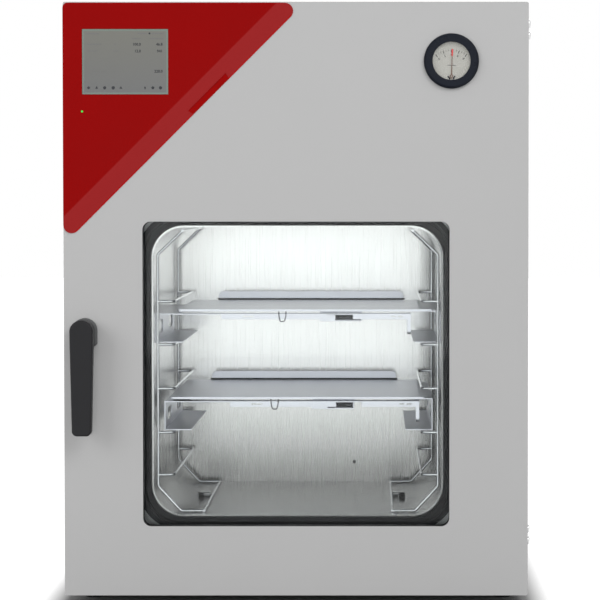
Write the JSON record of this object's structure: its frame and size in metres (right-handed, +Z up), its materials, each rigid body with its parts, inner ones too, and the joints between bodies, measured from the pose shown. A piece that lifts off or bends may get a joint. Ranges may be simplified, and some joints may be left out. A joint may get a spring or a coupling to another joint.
{
  "type": "vacuum oven",
  "caption": "Bench vacuum drying oven: grey cabinet, full-height hinged door with a square window, corner controller, dial gauge and black lever; rounded steel chamber with expanding shelves.",
  "frame": {"origin": "centre of the footprint, on the bench under the feet", "axes": "+Z up, +X to the right seen from the front, +Y from the door into the oven"},
  "size_m": [0.638, 0.582, 0.825],
  "materials": {
    "cabinet_paint": "fine-textured powder coat",
    "door_paint": "fine-textured powder coat",
    "zinc_sheet": "galvanised sheet",
    "zinc_steel": "zinc plated",
    "bright_steel": "bright",
    "bright_wire": "electropolished wire",
    "foot_rubber": "matt",
    "flange_steel": "satin",
    "stainless": "electropolished stainless",
    "seal_silicone": "satin",
    "mat_silicone": "matt",
    "mineral_wool": "felted",
    "valve_body": "moulded",
    "black_plastic": "moulded",
    "board_green": "lacquered",
    "aluminium": "satin",
    "clear_plastic": "clear",
    "clear_glass": "clear",
    "handle_plastic": "fine-grained",
    "base_plastic": "fine-grained",
    "red_panel": "satin film",
    "display_face": "glass-covered display",
    "led_green": "translucent",
    "bezel_black": "gloss",
    "dial_silver": "satin",
    "needle_black": "matt",
    "shelf_aluminium": "brushed",
    "spring_steel": "drawn"
  },
  "bodies": {
    "cabinet": {"base_tray": "zinc_sheet", "casing_screws": "zinc_steel", "chamber": "stainless", "chamber_gasket": "seal_silicone", "electronics_tray": "zinc_sheet", "feet": "foot_rubber", "flange_screws": "zinc_steel", "front_frame": "flange_steel", "gas_port": "stainless", "heater_mats": "mat_silicone", "hinge_brackets": "zinc_steel", "hinge_pins": "bright_steel", "insulation": "mineral_wool", "interface_socket": "zinc_steel", "latch_keeper": "zinc_steel", "mains_inlet": "black_plastic", "outer_casing": "cabinet_paint", "power_board": "board_green", "power_supply": "aluminium", "pressure_sensor": "bright_steel", "rack_left": "bright_wire", "rack_locators": "bright_steel", "rack_right": "bright_wire", "rear_panel": "zinc_sheet", "upper_shelf_anchor": "spring_steel", "upper_shelf_deck": "shelf_aluminium", "upper_shelf_fixed_cheek": "shelf_aluminium", "upper_shelf_spring": "spring_steel", "vacuum_port": "stainless", "vacuum_valve": "valve_body", "wall_sensor": "bright_steel"},
    "door": {"door_panel": "door_paint", "door_back_cover": "door_paint", "hinge_blocks": "zinc_steel", "hinge_screws": "bright_steel", "shatter_guard": "clear_plastic", "glass_pane": "clear_glass", "glass_frame": "flange_steel", "glass_springs": "bright_steel", "handle_base": "base_plastic", "controller_panel": "red_panel", "display_unit": "display_face", "status_led": "led_green", "controller_board": "board_green", "gauge_case": "bezel_black", "gauge_dial": "dial_silver", "gauge_lens": "clear_glass"},
    "handle": {"handle_lever": "handle_plastic", "handle_spindle": "zinc_steel", "latch_cam": "zinc_steel"},
    "needle": {"gauge_needle": "needle_black"},
    "upper_slide": {"upper_shelf_slide": "shelf_aluminium"},
    "lower_shelf": {"lower_shelf_deck": "shelf_aluminium", "lower_shelf_fixed_cheek": "shelf_aluminium", "lower_shelf_anchor": "spring_steel", "lower_shelf_spring": "spring_steel"},
    "lower_slide": {"lower_shelf_slide": "shelf_aluminium"},
    "rocker": {"main_switch": "black_plastic"}
  },
  "joints": [
    {"name": "door_swing", "type": "hinge", "parent": "cabinet", "child": "door", "pos_m": [0.31, -0.207, 0.42], "axis": [0, 0, 1], "range_deg": [0, 105]},
    {"name": "door_handle", "type": "hinge", "parent": "door", "child": "handle", "pos_m": [-0.288, -0.249, 0.3776], "axis": [0, -1, 0], "range_deg": [0, 90]},
    {"name": "gauge_reading", "type": "hinge", "parent": "door", "child": "needle", "pos_m": [0.2117, -0.252, 0.7239], "axis": [0, 1, 0], "range_deg": [-36, 32]},
    {"name": "upper_shelf_squeeze", "type": "slide", "parent": "cabinet", "child": "upper_slide", "axis": [1, 0, 0], "range_m": [0, 0.022], "deforming": ["upper_shelf_spring"]},
    {"name": "lower_shelf_draw", "type": "slide", "parent": "cabinet", "child": "lower_shelf", "axis": [0, -1, 0], "range_m": [0, 0.024]},
    {"name": "lower_shelf_squeeze", "type": "slide", "parent": "lower_shelf", "child": "lower_slide", "axis": [1, 0, 0], "range_m": [-0.0118, 0], "deforming": ["lower_shelf_spring"]},
    {"name": "mains_switch", "type": "hinge", "parent": "cabinet", "child": "rocker", "pos_m": [-0.23, 0.253, 0.654], "axis": [1, 0, 0], "range_deg": [0, 16]}
  ]
}
